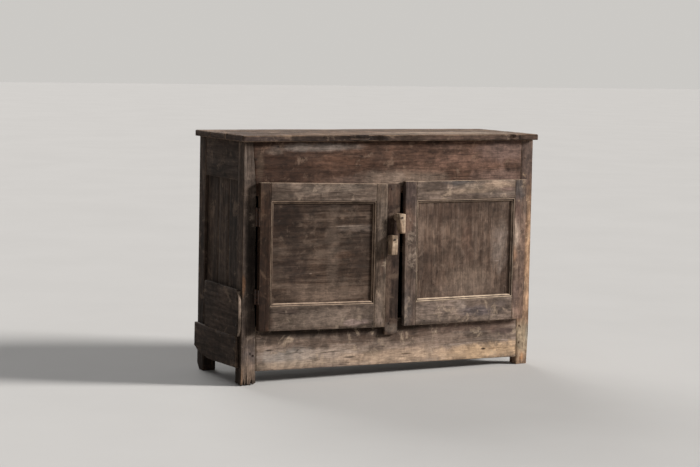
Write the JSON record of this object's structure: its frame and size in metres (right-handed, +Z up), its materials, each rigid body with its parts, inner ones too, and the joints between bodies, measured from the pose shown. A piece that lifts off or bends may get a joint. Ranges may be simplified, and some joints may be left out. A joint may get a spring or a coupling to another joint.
{
  "type": "cupboard",
  "caption": "Old framed cupboard on post feet, with two hinged panelled doors held shut by wooden turn buttons",
  "frame": {"origin": "on the floor, under the middle of the object's outer box", "axes": "+X along the front to the right as one faces it, +Y from the front to the back, +Z up"},
  "size_m": [1.1994, 0.431, 0.859],
  "materials": {
    "case_wood": "dry weathered softwood with worn brown paint",
    "top_wood": "dry weathered softwood, scuffed",
    "door_wood": "dry weathered softwood with worn brown paint",
    "inner_wood": "bare aged softwood",
    "button_wood": "bare pale softwood",
    "iron": "dull dark iron with brown rust"
  },
  "bodies": {
    "cupboard_case": {"apron": "case_wood", "back_boards": "inner_wood", "back_bottom_rail": "inner_wood", "back_left_post": "case_wood", "back_right_post": "case_wood", "back_top_rail": "inner_wood", "button_nails": "iron", "button_washers": "button_wood", "centre_stile": "case_wood", "centre_stile_nails": "iron", "floor_back_plank": "inner_wood", "floor_front_plank": "inner_wood", "floor_left_bearer": "inner_wood", "floor_middle_plank": "inner_wood", "floor_right_bearer": "inner_wood", "frame_pegs": "case_wood", "frieze": "case_wood", "front_left_post": "case_wood", "front_right_post": "case_wood", "left_hinge_frame_leaves": "iron", "left_hinge_pins": "iron", "left_side_back_board": "case_wood", "left_side_base_board": "case_wood", "left_side_bottom_rail": "case_wood", "left_side_front_board": "case_wood", "left_side_lower_board": "case_wood", "left_side_middle_board": "case_wood", "left_side_top_rail": "case_wood", "right_hinge_frame_leaves": "iron", "right_hinge_pins": "iron", "right_side_back_board": "case_wood", "right_side_bottom_rail": "case_wood", "right_side_front_board": "case_wood", "right_side_middle_board": "case_wood", "right_side_top_rail": "case_wood", "shelf_back_plank": "inner_wood", "shelf_front_plank": "inner_wood", "shelf_left_bearer": "inner_wood", "shelf_right_bearer": "inner_wood", "top_back_plank": "top_wood", "top_front_plank": "top_wood", "top_left_cleat": "top_wood", "top_middle_plank": "top_wood", "top_right_cleat": "top_wood"},
    "left_door": {"left_door_hinge_stile": "door_wood", "left_door_meeting_stile": "door_wood", "left_door_bottom_rail": "door_wood", "left_door_top_rail": "door_wood", "left_door_panel": "door_wood", "left_door_moulding": "door_wood", "left_hinge_door_leaves": "iron"},
    "right_door": {"right_door_hinge_stile": "door_wood", "right_door_meeting_stile": "door_wood", "right_door_bottom_rail": "door_wood", "right_door_top_rail": "door_wood", "right_door_panel": "door_wood", "right_door_moulding": "door_wood", "right_hinge_door_leaves": "iron"},
    "left_turn_button": {"left_turn_button": "button_wood"},
    "right_turn_button": {"right_turn_button": "button_wood"}
  },
  "joints": [
    {"name": "left_door_hinge", "type": "hinge", "parent": "cupboard_case", "child": "left_door", "pos_m": [-0.53585, -0.16535, 0.446], "axis": [0, 0, -1], "range_deg": [0, 110]},
    {"name": "right_door_hinge", "type": "hinge", "parent": "cupboard_case", "child": "right_door", "pos_m": [0.56075, -0.16535, 0.446], "axis": [0, 0, 1], "range_deg": [0, 110]},
    {"name": "left_button_turn", "type": "hinge", "parent": "cupboard_case", "child": "left_turn_button", "pos_m": [-0.01655, -0.19055, 0.4913], "axis": [0, 1, 0], "range_deg": [-90, 94]},
    {"name": "right_button_turn", "type": "hinge", "parent": "cupboard_case", "child": "right_turn_button", "pos_m": [0.00995, -0.19055, 0.5682], "axis": [0, -1, 0], "range_deg": [-90, 90]}
  ]
}
